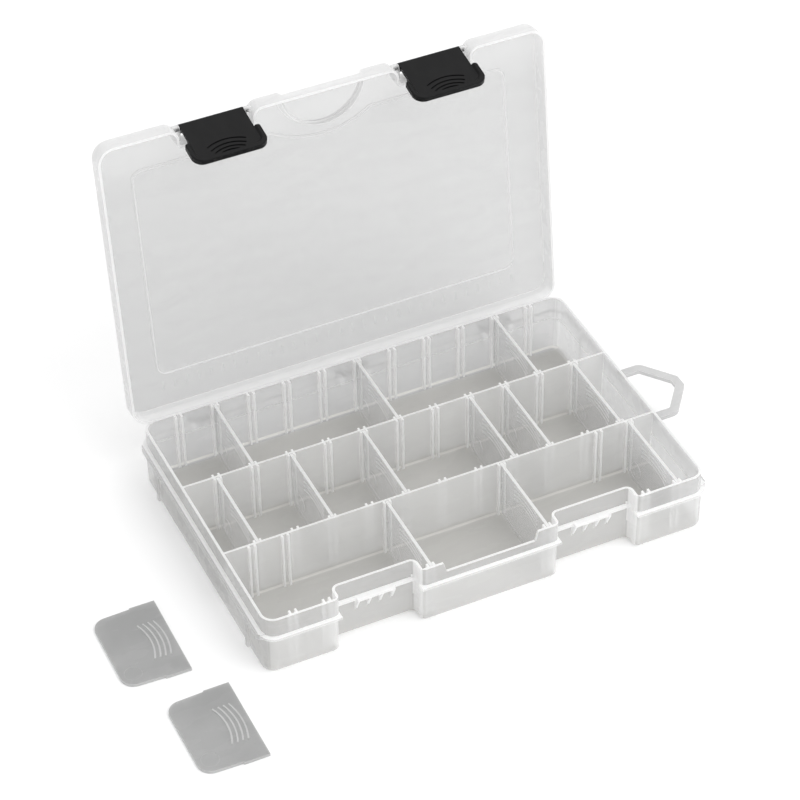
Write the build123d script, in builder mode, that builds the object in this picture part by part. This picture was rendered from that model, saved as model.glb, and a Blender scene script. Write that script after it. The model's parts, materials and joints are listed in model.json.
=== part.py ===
"""Utility tackle box: a compartment tray, a hinged lid, two latches and fourteen slot-in dividers.

Frame: +X along the box, +Y to the hinge side, +Z up, origin at the middle of the tray's underside.
The box stands open, and two spare dividers lie on the ground in front of its left end.
"""
from build123d import *
from math import asin, cos, degrees, radians, sin
import os

os.makedirs("parts", exist_ok=True)

# ---- driving dimensions, millimetres and degrees ----------------------------------------------
rim_length = 272.0
rim_depth = 181.0
rim_height = 40.0
corner_radius = 8.0
wall = 1.5
floor_thickness = 1.6

ledge_top = 28.0            # flange round the tray that the lid's skirt comes down to
ledge_thickness = 1.6
ledge_width = 2.2
side_ledge_width = 3.3
shoulder_height = 24.5      # below this the inside is narrower at the front and back
shoulder_step = 0.8

latch_x = 67.25             # distance of each latch from the middle of the box
recess_width = 48.5
recess_depth = 10.0
recess_radius = 3.0
mouth_radius = 4.0

partition_y = 29.9
partition_thickness = 1.3
slot_pitch = 22.8
front_slots = (36.0, 98.5, 118.5)
slot_gap = 2.4
slot_rib = 1.2
partition_rib_depth = 1.8
wall_rib_reach = 86.3       # tips of the slot ribs on the front and back walls

divider_thickness = 1.8
divider_clearance = 0.25
divider_bottom = 1.7
divider_height = 38.2
divider_step_depth = 15.0    # the divider is narrower from this far below its top
divider_corner_radius = 8.0
grip_rise = 0.4
grip_chord = 28.0
grip_heights = (34.2, 31.3, 28.4, 25.4)
rear_dividers = (-91.2, 0.0, 91.2)
middle_dividers = (-114.0, -68.4, -22.8, 45.6, 68.4, 114.0)
front_dividers = (-36.0, 36.0, 118.5)
spare_places = ((-171.4, -39.2, -0.7), (-157.9, -115.6, -0.2))    # top edge's middle, and turn

dip_half_width = 27.5       # lowered part of the front rim, under the lid's thumb recess
dip_depth = 6.7

hinge_y = 96.2
hinge_z = 28.1
lid_opening = 96.9
hinge_stations = (-95.0, 0.0, 95.0)
knuckle_length = 14.0
hinge_pin_radius = 1.5
running_clearance = 0.05

lid_gap = 0.5
lid_wall = 1.4
lid_bottom = 29.2
lid_inside = 40.3
panel_length = 233.0
panel_depth = 137.5
panel_rise = 0.7
thumb_drop = 5.5

latch_pivot_y = -88.6
latch_pivot_z = 36.5
latch_lean = 16.5           # how far a latch leans in at its stop, which is where it snaps
latch_length = 31.5
latch_width = 38.5
latch_foot_width = 45.0
latch_foot_start = 15.5
latch_corner_radius = 6.5
latch_thickness = 2.0
latch_rim_rise = 1.3        # rim round the latch's foot, which leaves a shallow dish inside
latch_rim_width = 2.2
latch_barrel_radius = 2.6
latch_pin_radius = 1.2
latch_pin_reach = 22.1      # end of each stub pin, from the middle of the latch
bar_width = 22.8
bar_front = -84.5

# ---- sizes that follow ------------------------------------------------------------------------
half_depth = rim_depth / 2
inner_half_depth = half_depth - wall
partition_inner = partition_y - partition_thickness / 2
partition_outer = partition_y + partition_thickness / 2
outer_row_centre = (inner_half_depth + partition_outer) / 2
divider_half_width = (inner_half_depth - partition_outer) / 2 - divider_clearance
latch_positions = (-latch_x, latch_x)
lid_grow = lid_gap + lid_wall
lid_top = lid_inside + lid_wall
lid_ear_outer = (recess_width - 2 * lid_grow) / 2 + 1.2
lid_ear_inner = latch_width / 2 + 0.35
knuckle_radius = 2.8
ear_radius = 3.0
recess_back = -half_depth + recess_depth


def box_plan(grow_x, grow_y):
    """Plan outline of the box wall, grown from the rim, with the two latch recesses."""
    front = -half_depth - grow_y
    back = recess_back - grow_y
    with BuildSketch() as plan:
        RectangleRounded(rim_length + 2 * grow_x, rim_depth + 2 * grow_y, corner_radius + grow_y)
        with Locations(*[(x, front) for x in latch_positions]):
            Rectangle(recess_width - 2 * grow_y, 2 * recess_depth, mode=Mode.SUBTRACT)
        inner_corners = plan.vertices().filter_by_position(Axis.Y, back - 0.1, back + 0.1)
        fillet(inner_corners, recess_radius - grow_y)
        mouth_corners = plan.vertices().filter_by_position(Axis.Y, front - 0.1, front + 0.1)
        fillet(
            [v for v in mouth_corners if abs(abs(v.X) - latch_x) < recess_width / 2 + 1],
            mouth_radius + grow_y,
        )
    return plan.sketch


def row_cavity(row_low, row_high):
    """Space of one row of compartments, narrower below the shoulder, with a rounded floor edge."""
    with BuildPart() as cavity:
        levels = ((floor_thickness, shoulder_height, shoulder_step), (shoulder_height, rim_height + 1, 0))
        for bottom, top, step in levels:
            with BuildSketch(Plane.XY.offset(bottom)):
                add(box_plan(-wall - step / 2, -wall - step))
                with Locations((0, (row_low + row_high) / 2)):
                    Rectangle(2 * rim_length, row_high - row_low, mode=Mode.INTERSECT)
            extrude(amount=top - bottom)
        fillet(cavity.faces().sort_by(Axis.Z)[0].edges(), 2.0)
    return cavity.part


def slot_ribs(positions, low_y, high_y):
    """Pairs of upright ribs that hold the edge of a divider at each of the given positions."""
    rib_offset = (slot_gap + slot_rib) / 2
    centres = [(x + side * rib_offset, (low_y + high_y) / 2) for x in positions for side in (-1, 1)]
    with Locations(*centres):
        Rectangle(slot_rib, high_y - low_y)


# ---- tray -------------------------------------------------------------------------------------
grid_slots = [k * slot_pitch for k in range(-5, 6)]
front_row_slots = [side * x for side in (-1, 1) for x in front_slots]
ledge_bottom = ledge_top - ledge_thickness
row_limits = (
    (-half_depth, -partition_outer),
    (-partition_inner, partition_inner),
    (partition_outer, half_depth),
)
cavities = [row_cavity(low, high) for low, high in row_limits]

with BuildPart() as tray:
    with BuildSketch():
        add(box_plan(0.8, -0.5))
    extrude(amount=ledge_top)
    fillet(tray.faces().sort_by(Axis.Z)[0].edges(), 3.0)
    with BuildSketch(Plane.XY.offset(ledge_top)):
        add(box_plan(0, 0))
    extrude(amount=rim_height - ledge_top)

    # Ledge: a flange all round, flush with the sides of the latch recesses.
    with BuildSketch(Plane.XY.offset(ledge_bottom)):
        RectangleRounded(rim_length + 2 * ledge_width, rim_depth + 2 * ledge_width, corner_radius + 2)
        with Locations(*[(x, -half_depth - ledge_width) for x in latch_positions]):
            Rectangle(recess_width, 2 * recess_depth, mode=Mode.SUBTRACT)
    extrude(amount=ledge_thickness)
    with BuildSketch(Plane.XY.offset(ledge_top - 3.0)):
        for side in (-1, 1):
            with Locations((side * (rim_length / 2 + side_ledge_width - 4), 0)):
                RectangleRounded(8, 2 * half_depth - 8, 3.2)
    extrude(amount=3.8)

    # Upright ribs on the outside of the end walls.
    with BuildSketch(Plane.XY.offset(2)):
        for side in (-1, 1):
            with Locations((side * rim_length / 2, -65.5), (side * rim_length / 2, 65.5)):
                RectangleRounded(5, 3.2, 1.0)
    extrude(amount=ledge_bottom - 2)

    # Hang loop, level with the ledge.
    with BuildSketch(Plane.XY.offset(24.8)) as loop:
        with BuildLine():
            Polyline((130, 24), (155.5, 24), (171, 4.2), (171, -4.2), (155.5, -24), (130, -24), close=True)
        make_face()
        fillet(loop.vertices().filter_by_position(Axis.X, 154, 157), 7)
        fillet(loop.vertices().filter_by_position(Axis.X, 170, 172), 3.5)
        offset(amount=-5.3, mode=Mode.SUBTRACT)
    extrude(amount=2.6)

    for cavity in cavities:
        add(cavity, mode=Mode.SUBTRACT)

    # Slot ribs on the walls and partitions.
    with BuildSketch(Plane.XY.offset(floor_thickness - 0.2)):
        slot_ribs(grid_slots, wall_rib_reach, half_depth - 0.7)
        slot_ribs(grid_slots, partition_outer - 0.3, partition_outer + partition_rib_depth)
        slot_ribs(grid_slots, partition_inner - partition_rib_depth, partition_inner + 0.3)
        slot_ribs(grid_slots, -partition_inner - 0.3, -partition_inner + partition_rib_depth)
        slot_ribs(front_row_slots, -partition_outer - partition_rib_depth, -partition_outer + 0.3)
        slot_ribs(front_row_slots, -half_depth + 0.7, -wall_rib_reach)
    extrude(amount=rim_height - floor_thickness + 0.2)

    # Lowered middle of the front rim.
    with BuildSketch(Plane.XZ.offset(half_depth - 5)) as dip:
        dip_bottom = rim_height - dip_depth
        with BuildLine():
            Polyline(
                (-dip_half_width, dip_bottom), (dip_half_width, dip_bottom),
                (dip_half_width + 2, rim_height + 1), (-dip_half_width - 2, rim_height + 1), close=True,
            )
        make_face()
        fillet(dip.vertices().group_by(Axis.Y)[0], 1.5)
    extrude(amount=10, mode=Mode.SUBTRACT)

    # Latch catches: a bar in front of each recess's ledge, on four gussets.
    for x in latch_positions:
        with BuildSketch(Plane.XY.offset(ledge_bottom)):
            with Locations((x, (bar_front + recess_back) / 2)):
                Rectangle(bar_width, recess_back - bar_front)
        extrude(amount=ledge_thickness)
        for gusset in range(4):
            with BuildSketch(Plane.YZ.offset(x - bar_width / 2 + gusset * 7.2)):
                with BuildLine():
                    Polyline((bar_front, ledge_bottom), (recess_back + 1, ledge_bottom),
                             (recess_back + 1, 17), (recess_back + 0.4, 17), close=True)
                make_face()
            extrude(amount=1.2)

    # Hinge ears on the back wall, bored for the lid's stub pins.
    for station in hinge_stations:
        for side in (-1, 1):
            ear_start = station + side * (knuckle_length / 2 + 0.3) - (3 if side < 0 else 0)
            with BuildSketch(Plane.YZ.offset(ear_start)):
                with BuildLine():
                    Polyline((half_depth - 1, 15), (half_depth - 1, hinge_z),
                             (hinge_y, hinge_z), (hinge_y + 2.6, hinge_z - 1.5), close=True)
                make_face()
                with Locations((hinge_y, hinge_z)):
                    Circle(ear_radius)
                    Circle(hinge_pin_radius + running_clearance, mode=Mode.SUBTRACT)
            extrude(amount=3)
tray.part.label = "tray"
export_step(tray.part, "parts/tray.step")

# ---- lid, drawn closed and then swung open about the hinge ------------------------------------
lid_front = -half_depth - lid_grow
hinge_axis = Axis((0, hinge_y, hinge_z), (1, 0, 0))


def thumb_recess(grow, depth):
    """Half-elliptical thumb recess in the middle of the lid's front edge, with sloping sides."""
    with BuildPart() as recess:
        for level, shrink in ((lid_top + 1, 0), (lid_top - depth, 2)):
            with BuildSketch(Plane.XY.offset(level)):
                with Locations((0, lid_front)):
                    Ellipse(26.5 + grow - shrink, 25.5 + grow - shrink)
        loft()
    return recess.part


def panel_plan(grow):
    """The lid's middle panel, which bends round the thumb recess."""
    with BuildSketch() as plan:
        with Locations((0, 1.5)):
            Rectangle(panel_length + 2 * grow, panel_depth + 2 * grow)
        with Locations((0, lid_front)):
            Ellipse(45 - grow, 34 - grow, mode=Mode.SUBTRACT)
        fillet(plan.vertices(), 6)
    return plan.sketch


with BuildPart() as lid_hollow:
    with BuildSketch(Plane.XY.offset(lid_bottom - 1)):
        add(box_plan(lid_gap, lid_gap))
    extrude(amount=lid_inside - lid_bottom + 1)
    with BuildSketch(Plane.XY.offset(lid_inside)):
        add(panel_plan(-lid_wall / 2))
    extrude(amount=panel_rise)
    add(thumb_recess(lid_wall, thumb_drop + lid_wall), mode=Mode.SUBTRACT)

with BuildPart() as closed_lid:
    with BuildSketch(Plane.XY.offset(lid_bottom)):
        add(box_plan(lid_grow, lid_grow))
    extrude(amount=lid_top - lid_bottom)
    fillet(closed_lid.faces().sort_by(Axis.Z)[-1].edges(), 2.6)
    with BuildSketch(Plane.XY.offset(lid_top - 0.3)):
        add(panel_plan(0))
    extrude(amount=panel_rise + 0.3)
    add(thumb_recess(0, thumb_drop), mode=Mode.SUBTRACT)

    # Ears either side of each latch.
    ear_starts = [
        x + (lid_ear_inner if side > 0 else -lid_ear_outer)
        for x in latch_positions for side in (-1, 1)
    ]
    for ear_start in ear_starts:
        with BuildSketch(Plane.YZ.offset(ear_start)):
            with Locations((latch_pivot_y, latch_pivot_z)):
                Circle(latch_barrel_radius)
            with Locations((latch_pivot_y + 4.5, latch_pivot_z)):
                Rectangle(9, 2 * latch_barrel_radius)
        extrude(amount=lid_ear_outer - lid_ear_inner)
    add(lid_hollow.part, mode=Mode.SUBTRACT)
    for x in latch_positions:
        with BuildSketch(Plane.YZ.offset(x - latch_pin_reach - 0.1)):
            with Locations((latch_pivot_y, latch_pivot_z)):
                Circle(latch_pin_radius + running_clearance)
        extrude(amount=2 * latch_pin_reach + 0.2, mode=Mode.SUBTRACT)

    # Row of short stiffening ribs inside, near the hinge.
    with BuildSketch(Plane.XY.offset(lid_inside - 0.3)):
        with Locations((0, 77)):
            with GridLocations(7.6, 1, 31, 1):
                Rectangle(0.9, 5)
    extrude(amount=0.6)

    # Hinge knuckles on arms from the back skirt, with stub pins for the tray's ears.
    for station in hinge_stations:
        with BuildSketch(Plane.YZ.offset(station - knuckle_length / 2)):
            with Locations((hinge_y, hinge_z)):
                Circle(knuckle_radius)
            skirt_face = half_depth + lid_grow
            with BuildLine():
                Polyline(
                    (skirt_face - 0.5, lid_bottom), (skirt_face - 0.5, lid_bottom + 5.5),
                    (skirt_face, lid_bottom + 5.5), (hinge_y + 1.6, hinge_z + 2.2),
                    (hinge_y, hinge_z), (hinge_y - 2, hinge_z + 0.6), close=True,
                )
            make_face()
        extrude(amount=knuckle_length)
        with BuildSketch(Plane.YZ.offset(station - knuckle_length / 2 - 3.2)):
            with Locations((hinge_y, hinge_z)):
                Circle(hinge_pin_radius)
        extrude(amount=knuckle_length + 6.4)

with BuildPart() as lid:
    add(closed_lid.part.rotate(hinge_axis, -lid_opening))
    # A heel on each knuckle comes up under the tray's ledge and stops the lid.
    heel_top = ledge_bottom - 0.05
    for station in hinge_stations:
        with BuildSketch(Plane.YZ.offset(station - knuckle_length / 2)):
            with BuildLine():
                Polyline(
                    (hinge_y, hinge_z - 2.6), (half_depth + 0.9, heel_top - 1.4),
                    (half_depth + 0.9, heel_top), (hinge_y - 1.2, heel_top), close=True,
                )
            make_face()
        extrude(amount=knuckle_length)
lid.part.label = "lid"
export_step(lid.part, "parts/lid.step")

# ---- latches ----------------------------------------------------------------------------------


def arc_strips(plane, centre, arcs, strip_width):
    """Concentric curved strips on a plane; each has the height where it crosses x = 0, and a chord."""
    with BuildSketch(plane) as strips:
        with BuildLine():
            for middle, chord in arcs:
                radius = abs(middle - centre)
                half_angle = degrees(asin(chord / 2 / radius))
                towards = 90 if middle > centre else -90
                CenterArc((0, centre), radius, towards - half_angle, 2 * half_angle)
        trace(line_width=strip_width)
    return strips.sketch


lean = radians(latch_lean)
latch_face = Plane(
    origin=(0, latch_pivot_y, latch_pivot_z), x_dir=(1, 0, 0), z_dir=(0, cos(lean), sin(lean))
)
latch_side = Plane(
    origin=(0, latch_pivot_y, latch_pivot_z), x_dir=(0, sin(lean), -cos(lean)), z_dir=(1, 0, 0)
)
plate_inner = latch_thickness - latch_barrel_radius
stop_face = recess_back - lid_grow - 0.05
hook = latch_side.to_local_coords(Vector(0, recess_back - ledge_width + 0.9, ledge_bottom - 0.2))


def latch_foot_plan():
    """Outline of the latch's wide lower part, in the plane of its face."""
    with BuildSketch() as foot:
        with Locations((0, (latch_foot_start + latch_length) / 2)):
            Rectangle(latch_foot_width, latch_length - latch_foot_start)
        fillet(foot.vertices().group_by(Axis.Y)[-1], latch_corner_radius)
        fillet(foot.vertices().group_by(Axis.Y)[0], 1.5)
    return foot.sketch


with BuildPart() as latch_blank:
    # Plate: narrow where it hangs in the recess, wider at its free end, the foot.
    with BuildSketch(latch_face.offset(-latch_barrel_radius)) as plate:
        with Locations((0, latch_foot_start / 2 + 1)):
            Rectangle(latch_width, latch_foot_start + 2)
        add(latch_foot_plan())
    extrude(amount=latch_thickness)

    # The foot is thicker, with a shallow dish in its outer face that is open towards the barrel.
    with BuildSketch(latch_face.offset(-latch_barrel_radius)):
        add(latch_foot_plan())
    extrude(amount=-latch_rim_rise)
    outer_face = latch_blank.faces().sort_by(Axis((0, 0, 0), latch_face.z_dir))[0]
    fillet(outer_face.edges(), 0.7)
    dish_width = latch_foot_width - 2 * latch_rim_width
    dish_end = latch_length - latch_rim_width
    with BuildSketch(latch_face.offset(-latch_barrel_radius - latch_rim_rise)):
        with Locations((0, dish_end / 2)):
            RectangleRounded(dish_width, dish_end, latch_corner_radius - 1)
    extrude(amount=latch_rim_rise, taper=40, mode=Mode.SUBTRACT)

    # Four curved finger grooves in the dish.
    with BuildSketch(latch_face.offset(-latch_barrel_radius - 0.1)):
        add(arc_strips(Plane.XY, 42, ((19.0, 23), (22.2, 21), (25.0, 18), (27.4, 13)), 1.0))
    extrude(amount=0.7, mode=Mode.SUBTRACT)

    # Barrel, with a stub pin at each end.
    for radius, reach in ((latch_barrel_radius, latch_width / 2), (latch_pin_radius, latch_pin_reach)):
        with BuildSketch(Plane.YZ.offset(-reach)):
            with Locations((latch_pivot_y, latch_pivot_z)):
                Circle(radius)
        extrude(amount=2 * reach)

    # Tab that bears on the lid and stops the latch.
    with BuildSketch(Plane.YZ.offset(-6)):
        with BuildLine():
            Polyline(
                (latch_pivot_y, latch_pivot_z - 2.4), (stop_face, latch_pivot_z - 3.4),
                (stop_face, latch_pivot_z - 1.6), (latch_pivot_y, latch_pivot_z), close=True,
            )
        make_face()
    extrude(amount=12)

    # Two lips that hook under the tray's ledge, either side of the catch bar.
    for lip_start in (-19.0, 12.0):
        with BuildSketch(latch_side.offset(lip_start)):
            with BuildLine():
                Polyline(
                    (hook.X - 1.3, plate_inner - 0.5), (hook.X, hook.Y), (hook.X + 1, hook.Y),
                    (hook.X + 3.5, plate_inner - 0.5), close=True,
                )
            make_face()
        extrude(amount=7)

for name, x in zip(("latch_left", "latch_right"), latch_positions):
    with BuildPart() as latch:
        with Locations((x, 0, 0)):
            add(latch_blank.part.rotate(hinge_axis, -lid_opening))
    latch.part.label = name
    export_step(latch.part, f"parts/{name}.step")

# ---- dividers ---------------------------------------------------------------------------------
step_height = divider_height - divider_step_depth
lower_half_width = divider_half_width - shoulder_step

with BuildPart() as divider_blank:
    # Panel, narrower below the step and tapering to round lower corners.
    with BuildSketch(Plane.YZ.offset(-divider_thickness / 2)) as panel:
        with BuildLine():
            Polyline(
                (-divider_half_width, divider_height), (-divider_half_width, step_height),
                (-lower_half_width, step_height), (-lower_half_width + 0.8, 0),
                (lower_half_width - 0.8, 0), (lower_half_width, step_height),
                (divider_half_width, step_height), (divider_half_width, divider_height), close=True,
            )
        make_face()
        fillet(panel.vertices().group_by(Axis.Y)[0], divider_corner_radius)
    extrude(amount=divider_thickness)

    # Four curved finger ribs, and a round mark near one lower corner.
    face = Plane.YZ.offset(divider_thickness / 2)
    with BuildSketch(face.offset(-0.1)):
        add(arc_strips(Plane.XY, -9.0, [(height, grip_chord) for height in grip_heights], 0.9))
    extrude(amount=grip_rise + 0.1)
    with BuildSketch(face):
        with Locations((19, 7.7)):
            Circle(5.0)
    extrude(amount=-0.2, mode=Mode.SUBTRACT)

places = {}
for row, row_y, positions in (
    ("rear", outer_row_centre, rear_dividers),
    ("middle", 0, middle_dividers),
    ("front", -outer_row_centre, front_dividers),
):
    for number, x in enumerate(positions, 1):
        places[f"divider_{row}_{number}"] = Plane((x, row_y, divider_bottom))
for number, (x, y, turn) in enumerate(spare_places, 1):
    toward_top = (cos(radians(turn)), sin(radians(turn)), 0)
    lying = Plane((x, y, divider_thickness / 2), x_dir=(0, 0, 1), z_dir=toward_top)
    places[f"spare_divider_{number}"] = lying.offset(-divider_height)

for name, place in places.items():
    with BuildPart() as divider:
        with Locations(place):
            add(divider_blank.part)
    divider.part.label = name
    export_step(divider.part, f"parts/{name}.step")
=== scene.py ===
"""Looks of the open tackle box: milky plastic, black latches, and a white studio round them."""

import json
import math

import bpy
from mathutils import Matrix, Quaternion, Vector


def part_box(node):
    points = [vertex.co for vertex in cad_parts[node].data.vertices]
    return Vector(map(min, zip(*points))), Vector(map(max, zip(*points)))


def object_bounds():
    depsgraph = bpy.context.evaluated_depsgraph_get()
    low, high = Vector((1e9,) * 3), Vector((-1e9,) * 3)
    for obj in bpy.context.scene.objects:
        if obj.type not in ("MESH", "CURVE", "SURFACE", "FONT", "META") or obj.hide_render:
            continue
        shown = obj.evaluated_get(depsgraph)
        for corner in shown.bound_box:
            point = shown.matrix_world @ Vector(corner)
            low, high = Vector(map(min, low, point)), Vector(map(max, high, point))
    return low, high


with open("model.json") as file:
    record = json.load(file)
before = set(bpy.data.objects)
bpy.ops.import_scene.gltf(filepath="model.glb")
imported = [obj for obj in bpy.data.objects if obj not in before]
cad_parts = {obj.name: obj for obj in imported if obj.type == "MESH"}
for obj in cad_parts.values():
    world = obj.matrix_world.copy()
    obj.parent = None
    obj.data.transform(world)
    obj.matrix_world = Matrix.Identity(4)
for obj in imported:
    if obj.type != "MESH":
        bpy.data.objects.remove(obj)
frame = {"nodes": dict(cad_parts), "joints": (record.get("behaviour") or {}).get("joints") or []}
cad_low, cad_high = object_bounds()
nodes = frame["nodes"]
joints = {joint["name"]: joint for joint in frame["joints"]}

MM = 0.001
SIDEWAYS = Vector((1, 0, 0))
BACKWARD = Vector((0, 1, 0))
FORWARD = Vector((0, -1, 0))
UP = Vector((0, 0, 1))

# ---- where things are --------------------------------------------------------------------------
lid_pivot = Vector(joints["lid_hinge"]["pos_m"])
lid_turn = math.radians(abs(joints["lid_hinge"]["range_deg"][0]))
# The way the lid's free edge faces while it stands open; it faces down when the lid is shut.
lid_mouth = Vector((0, -math.sin(lid_turn), -math.cos(lid_turn)))
# The way from the hinge along the open lid to its front.
lid_reach = Vector((0, -math.cos(lid_turn), math.sin(lid_turn)))
rim_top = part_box("tray")[1].z

# Heights in the tray.
floor_top = 1.6 * MM
ledge_level = 0.65 * rim_top         # the underside of the ledge
catch_bottom = 15 * MM
catch_top = 30 * MM

# Distances from the box's middle, along its length.
catch_end = 120 * MM
inside_half_length = 134.5 * MM
end_face = 136 * MM                  # outside of the end walls

# Distances from the box's middle, across it.
partition_rib_inner = 28 * MM        # just past the ribs' fronts, on a partition's inner side
partition_reach = 31 * MM            # just past the outer faces of the two long partitions
partition_rib_outer = (32.1 * MM, 33 * MM)
wall_rib = (86.1 * MM, 87 * MM)      # fronts of the ribs on the long walls
panel_front = 68.75 * MM             # front of the lid's raised panel
rib_row_span = (73 * MM, 81 * MM)    # the row of short ribs in the lid
recess_face = 79.5 * MM              # just behind the face of the latch recesses
catch_span = (80.8 * MM, 85.6 * MM)
inside_half_depth = 88.2 * MM
rear_face = 90.2 * MM                # just inside the outer face of the rear wall

# Distances from the hinge axis.
hinge_room = 9 * MM                  # half the height of everything round the axis
panel_inner = 12.9 * MM              # heights of the lid panel's two faces, when shut
panel_outer = 14.3 * MM

# ---- colours, and what they let through --------------------------------------------------------
EDGE = (0.985, 0.985, 0.985)         # the plastic at rims and corners: whiter where seen end on through more of it, and partly a painted glow
EDGE_OPACITY = 0.9
EDGE_WIDTH = 0.6 * MM
LID_EDGE_WIDTH = 0.9 * MM
EDGE_TURN = 0.75                     # cosine of the turn at which a corner is at its brightest
LID_EDGE_TURN = 0.92
CLEAR_TINT = (0.95, 0.95, 0.95)      # what each face lets straight through
CLEAREST_TINT = (0.985, 0.985, 0.985)
# The lid's and its border's tints below are darker than the tray's: painted shade.
BORDER_TINT = (0.905, 0.905, 0.905)
LID_TINT = (0.88, 0.88, 0.88)


# ---- node helpers ------------------------------------------------------------------------------
class Nodes:
    """Adds nodes to a material and links them; each method returns an output socket."""

    def __init__(self, name):
        self.material = bpy.data.materials.new(name)
        self.material.use_nodes = True
        self.tree = self.material.node_tree
        self.tree.nodes.clear()
        coords = self.tree.nodes.new("ShaderNodeTexCoord")
        self.place = coords.outputs["Object"]
        self.normal = coords.outputs["Normal"]

    def put(self, socket, value):
        """Sets an input to a plain value, or links it to another node's output."""
        if isinstance(value, bpy.types.NodeSocket):
            self.tree.links.new(value, socket)
        elif isinstance(value, Vector):
            socket.default_value = value[:]
        elif isinstance(value, tuple) and len(value) == 3 and socket.type == "RGBA":
            socket.default_value = (*value, 1)
        else:
            socket.default_value = value

    def math(self, operation, first, second=0.0):
        node = self.tree.nodes.new("ShaderNodeMath")
        node.operation = operation
        self.put(node.inputs[0], first)
        self.put(node.inputs[1], second)
        return node.outputs[0]

    def dot(self, first, second):
        node = self.tree.nodes.new("ShaderNodeVectorMath")
        node.operation = "DOT_PRODUCT"
        self.put(node.inputs[0], first)
        self.put(node.inputs[1], second)
        return node.outputs["Value"]

    def ramp(self, value, low, high, at_low=0.0, at_high=1.0):
        """A smooth step of a value from low to high."""
        node = self.tree.nodes.new("ShaderNodeMapRange")
        node.interpolation_type = "SMOOTHSTEP"
        self.put(node.inputs["Value"], value)
        for name, number in (
            ("From Min", low), ("From Max", high), ("To Min", at_low), ("To Max", at_high),
        ):
            node.inputs[name].default_value = number
        return node.outputs["Result"]

    # Positions, and which way a face looks.
    def at(self, direction):
        """How far the place is along a direction."""
        return self.dot(self.place, direction)

    def reach(self, direction):
        """How far the place is from the box's middle plane, on either side of it."""
        return self.math("ABSOLUTE", self.at(direction))

    def facing(self, direction, low, high):
        """1 on faces that look along a direction, either way, and 0 on faces that lie along it."""
        return self.ramp(self.math("ABSOLUTE", self.dot(self.normal, direction)), low, high)

    # Masks made from a value, and from each other.
    def above(self, value, low, high):
        return self.ramp(value, low, high)

    def below(self, value, low, high):
        return self.ramp(value, low, high, 1, 0)

    def band(self, value, low, high, soft=0.1 * MM):
        """1 where a value lies between low and high."""
        return self.both(self.above(value, low - soft, low), self.below(value, high, high + soft))

    def both(self, first, second):
        return self.math("MULTIPLY", first, second)

    def either(self, first, second):
        return self.math("MAXIMUM", first, second)

    def rim(self, direction, level, soft=0.3 * MM):
        """1 on faces that face a direction and lie past a level along it."""
        facing = self.ramp(self.dot(self.normal, direction), 0.75, 0.9)
        return self.both(facing, self.above(self.at(direction), level - soft, level))

    def corners(self, radius, turn):
        """1 along the corners of the shape, on both of their sides, and 0 on flat faces."""
        bevel = self.tree.nodes.new("ShaderNodeBevel")
        bevel.samples = 6
        bevel.inputs["Radius"].default_value = radius
        geometry = self.tree.nodes.new("ShaderNodeNewGeometry")
        alike = self.dot(bevel.outputs["Normal"], geometry.outputs["Normal"])
        return self.below(alike, turn, 0.99)

    # Mixes and textures.
    def slide(self, share, first, second):
        """A number that goes from the first to the second."""
        return self.mixed("FLOAT", share, first, second)

    def blend(self, share, first, second):
        """A mix of two colours."""
        return self.mixed("RGBA", share, first, second)

    def mixed(self, kind, share, first, second):
        node = self.tree.nodes.new("ShaderNodeMix")
        node.data_type = kind
        self.put(node.inputs["Factor"], share)
        self.put(node.inputs["A"], first)
        self.put(node.inputs["B"], second)
        return node.outputs["Result"]

    def noise(self, scale, detail, stretch=(1, 1, 1), seed=0.0):
        """Noise in the part's own coordinates; scale is in features per metre."""
        mapping = self.tree.nodes.new("ShaderNodeMapping")
        self.put(mapping.inputs["Vector"], self.place)
        mapping.inputs["Scale"].default_value = stretch
        mapping.inputs["Location"].default_value = (seed, seed, seed)
        node = self.tree.nodes.new("ShaderNodeTexNoise")
        self.put(node.inputs["Vector"], mapping.outputs["Vector"])
        node.inputs["Scale"].default_value = scale
        node.inputs["Detail"].default_value = detail
        return node.outputs["Fac"]

    def bump(self, height, distance, strength, normal=None):
        node = self.tree.nodes.new("ShaderNodeBump")
        self.put(node.inputs["Height"], height)
        node.inputs["Distance"].default_value = distance
        node.inputs["Strength"].default_value = strength
        if normal is not None:
            self.put(node.inputs["Normal"], normal)
        return node.outputs["Normal"]

    # Shaders.
    def shader(self, kind, **inputs):
        """A shader node; an underscore in a name stands for a space."""
        node = self.tree.nodes.new(kind)
        for name, value in inputs.items():
            self.put(node.inputs[name.replace("_", " ")], value)
        return node.outputs[0]

    def mix(self, share, first, second):
        """A mix of two shaders."""
        node = self.tree.nodes.new("ShaderNodeMixShader")
        self.put(node.inputs[0], share)
        self.put(node.inputs[1], first)
        self.put(node.inputs[2], second)
        return node.outputs[0]

    def finish(self, surface):
        output = self.tree.nodes.new("ShaderNodeOutputMaterial")
        self.tree.links.new(surface, output.inputs["Surface"])
        return self.material


# ---- masks of the tray -------------------------------------------------------------------------
def rims(n):
    """Tops of the walls, partitions, ribs and ledge, but not of the hang loop."""
    on_tray = n.below(n.reach(SIDEWAYS), end_face + 2 * MM, end_face + 3 * MM)
    return n.both(n.rim(UP, ledge_level), on_tray)


def floor_painted_shade(n):
    """The floor inside, fading up the first millimetres of the walls, painted darker as shade in
    the tray's hollows.
    """
    soft = 0.5 * MM
    inside = n.both(
        n.below(n.reach(SIDEWAYS), inside_half_length - soft, inside_half_length + soft),
        n.below(n.reach(BACKWARD), inside_half_depth - soft, inside_half_depth + soft),
    )
    return n.both(inside, n.below(n.at(UP), floor_top, floor_top + 5 * MM))


def floor_edges(n):
    """The rounded edges of the floor along the partitions and long walls, where light gathers."""
    rise = n.dot(n.normal, UP)
    rounded = n.both(n.above(rise, 0.15, 0.4), n.below(rise, 0.75, 0.95))
    low = n.ramp(n.at(UP), floor_top + 2 * MM, floor_top + 3 * MM, 0.8, 0)
    return n.both(n.both(rounded, low), n.facing(BACKWARD, 0.2, 0.4))


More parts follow.
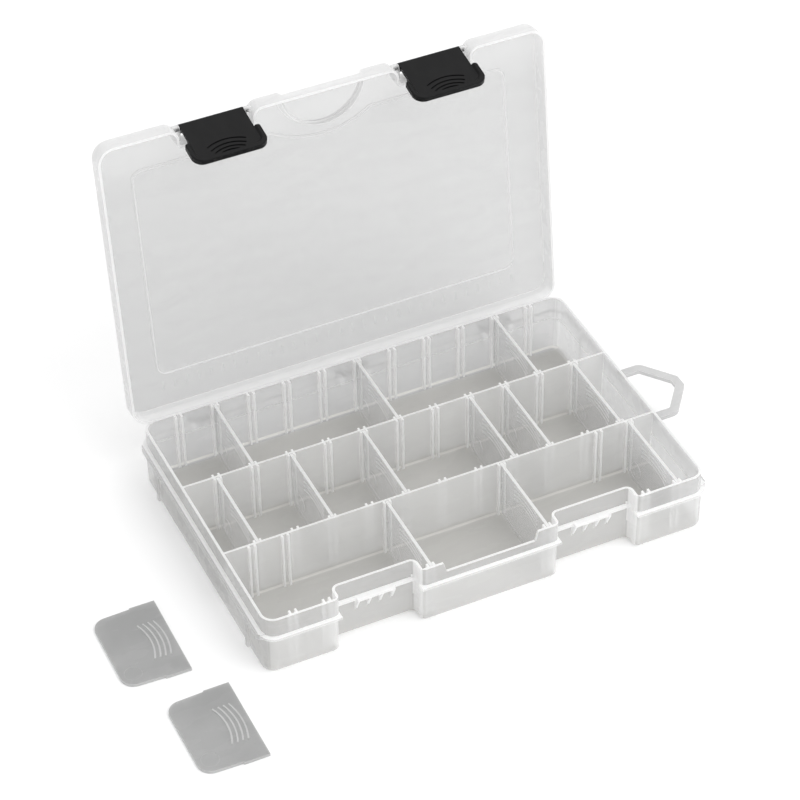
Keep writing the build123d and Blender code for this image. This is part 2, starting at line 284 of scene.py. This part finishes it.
def front_painted_light(n):
    """The outside of the front and of the latch recesses, below the ledge; its zone paints light on
    it, brighter as if lit by light bounced off the floor.
    """
    front_wall = n.above(n.at(FORWARD), inside_half_depth + 0.4 * MM, inside_half_depth + 0.8 * MM)
    outside = n.either(front_wall, n.rim(FORWARD, recess_face))
    outside = n.both(outside, n.facing(BACKWARD, 0.3, 0.9))
    return n.both(outside, n.below(n.at(UP), ledge_level, ledge_level + 3 * MM))


# The rear wall, which its zone paints darker as shade.
def rear_wall_painted_shade(n):
    return n.above(n.at(BACKWARD), inside_half_depth - 3 * MM, inside_half_depth - 2 * MM)


# The end walls, which their zone paints darker as shade.
def end_walls_painted_shade(n):
    start = inside_half_length - 0.6 * MM
    return n.above(n.reach(SIDEWAYS), start, start + 0.4 * MM)


def partitions(n):
    """The sides of the two long partitions, without their slot ribs; their zone paints light on
    them, brighter as if lit from the front.
    """
    near = n.below(n.reach(BACKWARD), partition_reach, partition_reach + 0.5 * MM)
    return n.both(near, n.facing(BACKWARD, 0.7, 0.9))


def slot_ribs_painted_light(n):
    """Sides and fronts of the ribs that hold the dividers, which their zone paints bright in place
    of the shade on them.
    """
    inside = n.below(n.reach(SIDEWAYS), end_face - 4 * MM, end_face - 3 * MM)
    sides = n.both(n.facing(SIDEWAYS, 0.6, 0.85), inside)
    across = n.reach(BACKWARD)
    soft = 0.1 * MM
    fronts = n.below(across, partition_rib_inner - soft, partition_rib_inner + soft)
    fronts = n.either(fronts, n.band(across, *partition_rib_outer))
    fronts = n.either(fronts, n.band(across, *wall_rib))
    return n.either(sides, n.both(fronts, n.facing(BACKWARD, 0.7, 0.9)))


def catches(n):
    """The bars and gussets in the latch recesses."""
    block = n.both(n.band(n.at(FORWARD), *catch_span), n.band(n.at(UP), catch_bottom, catch_top))
    return n.both(block, n.below(n.reach(SIDEWAYS), catch_end, catch_end + 1 * MM))


def hang_loop(n):
    return n.above(n.reach(SIDEWAYS), end_face + 2 * MM, end_face + 4 * MM)


def hinge_parts(n):
    """Knuckles, ears and pins of the tray and the lid, which would be dark where many overlap."""
    up = n.math("ABSOLUTE", n.math("SUBTRACT", n.at(UP), lid_pivot.z))
    back = n.math("ABSOLUTE", n.math("SUBTRACT", n.at(BACKWARD), lid_pivot.y))
    around = n.below(n.math("MAXIMUM", up, back), hinge_room - 1 * MM, hinge_room)
    behind = n.above(n.at(BACKWARD), rear_face + 0.2 * MM, rear_face + 0.5 * MM)
    return n.both(around, behind)


# ---- masks of the lid and the dividers ---------------------------------------------------------
def from_hinge(n):
    """How far a place on the lid is from the hinge, towards its front."""
    return n.math("SUBTRACT", n.at(lid_reach), lid_reach.dot(lid_pivot))


def lid_rims(n):
    """The lid's free edge, and everything that isn't parallel to its flat top."""
    free_edge = n.rim(lid_mouth, lid_mouth.dot(lid_pivot) - 3 * MM)
    turned = n.math("ABSOLUTE", n.dot(n.normal, lid_mouth))
    return n.either(free_edge, n.ramp(turned, 0.55, 0.9, 0.75, 0))


def rib_row(n):
    """The row of short ribs in the lid, near its hinge."""
    near, far = rib_row_span
    return n.band(from_hinge(n), lid_pivot.y - far, lid_pivot.y - near)


def lid_border(n):
    """The flat border at the lid's front, outside its raised panel."""
    height = n.math("SUBTRACT", lid_mouth.dot(lid_pivot), n.at(lid_mouth))
    panel = n.either(
        n.band(height, panel_inner - 0.15 * MM, panel_inner + 0.15 * MM),
        n.above(height, panel_outer - 0.2 * MM, panel_outer - 0.1 * MM),
    )
    front = lid_pivot.y + panel_front
    near_front = n.above(from_hinge(n), front - 16 * MM, front + 12 * MM)
    return n.both(near_front, n.math("SUBTRACT", 1.0, panel))


def divider_tops(n):
    return n.rim(UP, rim_top - 1.5 * MM)


def spare_outline(n):
    """A lying divider's sides, and the tops of its raised ribs."""
    sides = n.ramp(n.dot(n.normal, UP), 0.3, 0.8, 0.35, 0)
    return n.either(sides, n.ramp(n.at(UP), 1.9 * MM, 2.1 * MM, 0, 0.6))


# ---- materials ---------------------------------------------------------------------------------
def milky_plastic(
    name, colour, opacity, edges, zones=(), tint=CLEAR_TINT, tints=(), corners=0.7,
    edge_width=EDGE_WIDTH, edge_turn=EDGE_TURN, faint=None, mottle=0.985, seed=0.0,
):
    """Translucent polypropylene. edges makes the mask of its bright rims. A zone is a mask with the
    colour and opacity that it gives what it covers, and tints are masks with their own tint.
    corners is how bright the corners are, and they are faint where the mask of that name covers
    them. mottle is how dark the colour's clouds are."""
    n = Nodes(name)
    if faint:
        corners = n.slide(faint(n), corners, 0.3)
    edge = n.either(edges(n), n.both(n.corners(edge_width, edge_turn), corners))
    cloud = n.noise(28, 3, seed=seed)
    flow = n.noise(95, 4, stretch=(0.35, 1.0, 1.0), seed=seed + 3)
    grain = n.noise(2600, 2, seed=seed)
    tone = n.blend(n.ramp(cloud, 0.3, 0.7), colour, tuple(mottle * c for c in colour))
    cover = n.math("ADD", n.ramp(flow, 0.3, 0.7, -0.01, 0.01), opacity)
    for mask, zone_tone, zone_opacity in zones:
        covered = mask(n)
        tone = n.blend(covered, tone, zone_tone)
        cover = n.slide(covered, cover, zone_opacity)
    tone = n.blend(edge, tone, EDGE)
    cover = n.slide(edge, cover, EDGE_OPACITY)
    for mask, zone_tint in tints:
        tint = n.blend(mask(n), tint, zone_tint)
    normal = n.bump(grain, 0.004 * MM, 0.5, n.bump(flow, 0.03 * MM, 0.3))
    body = n.shader(
        "ShaderNodeBsdfPrincipled", Base_Color=tone, Roughness=n.ramp(flow, 0.3, 0.75, 0.22, 0.34),
        Normal=normal, IOR=1.49, Specular_IOR_Level=0.5,
    )
    glow = n.shader("ShaderNodeBsdfTranslucent", Color=tone, Normal=normal)
    clear = n.shader("ShaderNodeBsdfTransparent", Color=tint)
    return n.finish(n.mix(cover, clear, n.mix(0.5, body, glow)))


def black_plastic():
    """Satin black plastic with a fine moulded grain."""
    n = Nodes("latch_plastic")
    grain = n.noise(3800, 3)
    smear = n.noise(160, 3, stretch=(1, 0.4, 0.4))
    tone = n.blend(n.ramp(smear, 0.35, 0.7), (0.003, 0.003, 0.0033), (0.006, 0.006, 0.0063))
    return n.finish(n.shader(
        "ShaderNodeBsdfPrincipled", Base_Color=tone, Roughness=n.ramp(smear, 0.3, 0.7, 0.34, 0.44),
        Normal=n.bump(grain, 0.03 * MM, 0.6), IOR=1.5, Specular_IOR_Level=0.15,
    ))


tray_plastic = milky_plastic(
    "tray_plastic", (0.84, 0.84, 0.837), 0.3, rims,
    (
        # painted light on the partitions
        (partitions, (0.99, 0.99, 0.985), 0.33),
        # painted shade: the floor inside is darker grey
        (floor_painted_shade, (0.71, 0.703, 0.683), 0.5),
        # painted shade on the rear wall
        (rear_wall_painted_shade, (0.64, 0.64, 0.64), 0.4),
        # painted shade on the end walls
        (end_walls_painted_shade, (0.69, 0.69, 0.69), 0.42),
        # painted light on the slot ribs
        (slot_ribs_painted_light, (0.985, 0.985, 0.982), 0.68),
        (floor_edges, (0.97, 0.955, 0.915), 0.62),
        # painted light on the front outside
        (front_painted_light, (0.985, 0.985, 0.985), 0.32),
        (catches, (0.985, 0.985, 0.985), 0.75),
        (hinge_parts, (0.8, 0.8, 0.8), 0.15),
        (hang_loop, (0.66, 0.66, 0.66), 0.6),
    ),
    tints=((front_painted_light, CLEAREST_TINT), (hinge_parts, CLEAREST_TINT)), seed=1,
)
# The lid's grey tone and darker tints are painted shade on the same plastic as the tray, lighter at
# its front border.
lid_plastic = milky_plastic(
    "lid_plastic", (0.58, 0.582, 0.582), 0.22, lid_rims,
    ((lid_border, (0.68, 0.68, 0.68), 0.23), (hinge_parts, (0.8, 0.8, 0.8), 0.15)),
    tint=LID_TINT, tints=((lid_border, BORDER_TINT), (hinge_parts, CLEAREST_TINT)),
    corners=0.95, edge_width=LID_EDGE_WIDTH, edge_turn=LID_EDGE_TURN, faint=rib_row, seed=2,
)
divider_plastic = milky_plastic(
    "divider_plastic", (0.76, 0.76, 0.758), 0.27, divider_tops, seed=3,
)
spare_plastic = milky_plastic(
    "spare_plastic", (0.6, 0.602, 0.6), 0.8, spare_outline, corners=0.5, mottle=0.9, seed=4,
)
latch_plastic = black_plastic()
for name, node in nodes.items():
    if name.startswith("latch"):
        material = latch_plastic
    elif name.startswith("spare"):
        material = spare_plastic
    elif name.startswith("divider"):
        material = divider_plastic
    else:
        material = tray_plastic if name == "tray" else lid_plastic
    node.data.materials.clear()
    node.data.materials.append(material)

# ---- studio ------------------------------------------------------------------------------------
scene = bpy.context.scene
scene.view_settings.view_transform = "Standard"
scene.cycles.transparent_max_bounces = 48
scene.cycles.max_bounces = 12
scene.cycles.transmission_bounces = 8
scene.cycles.diffuse_bounces = 5


def studio_floor():
    """A pale floor, a hair below the box so that their faces don't share a plane."""
    n = Nodes("studio_floor")
    tone = n.blend(n.noise(3, 2), (0.93, 0.93, 0.93), (0.95, 0.95, 0.95))
    surface = n.shader(
        "ShaderNodeBsdfPrincipled", Base_Color=tone, Roughness=0.9, Specular_IOR_Level=0.1,
    )
    half = 6.0
    corners = [(-half, -half, 0), (half, -half, 0), (half, half, 0), (-half, half, 0)]
    mesh = bpy.data.meshes.new("studio_floor")
    mesh.from_pydata(corners, [], [(0, 1, 2, 3)])
    mesh.materials.append(n.finish(surface))
    floor = bpy.data.objects.new("studio_floor", mesh)
    floor.location.z = -0.05 * MM
    scene.collection.objects.link(floor)


def soft_light(name, place, aim, size, power):
    lamp = bpy.data.lights.new(name, "AREA")
    lamp.shape = "DISK"
    lamp.size = size
    lamp.energy = power
    holder = bpy.data.objects.new(name, lamp)
    holder.location = place
    holder.rotation_mode = "QUATERNION"
    holder.rotation_quaternion = (Vector(aim) - Vector(place)).to_track_quat("-Z", "Y")
    scene.collection.objects.link(holder)


studio_floor()
middle = (cad_low + cad_high) / 2
soft_light("key_light", place=(0.8, -1.2, 1.6), aim=middle, size=1.8, power=16)
soft_light("top_light", place=(0.3, 0.5, 1.9), aim=middle, size=1.6, power=5)
world = bpy.data.worlds.new("studio")
world.use_nodes = True
background = world.node_tree.nodes["Background"]
background.inputs["Color"].default_value = (1, 1, 1, 1)
background.inputs["Strength"].default_value = 0.92
scene.world = world

# ---- camera ------------------------------------------------------------------------------------
camera_azimuth = math.radians(24.66)      # to the left of the box's front
camera_elevation = math.radians(40.99)
camera_roll = math.radians(-0.94)
camera_distance = 1.714
camera_aim = Vector((-0.002, 0.023, 0.060))
towards_camera = Vector((
    -math.sin(camera_azimuth) * math.cos(camera_elevation),
    -math.cos(camera_azimuth) * math.cos(camera_elevation),
    math.sin(camera_elevation),
))
lens = bpy.data.cameras.new("camera")
lens.lens = 134.6
lens.sensor_width = 36
camera = bpy.data.objects.new("camera", lens)
camera.location = camera_aim + camera_distance * towards_camera
camera.rotation_mode = "QUATERNION"
upright = (-towards_camera).to_track_quat("-Z", "Y")
camera.rotation_quaternion = upright @ Quaternion((0, 0, 1), camera_roll)
scene.collection.objects.link(camera)
scene.camera = camera
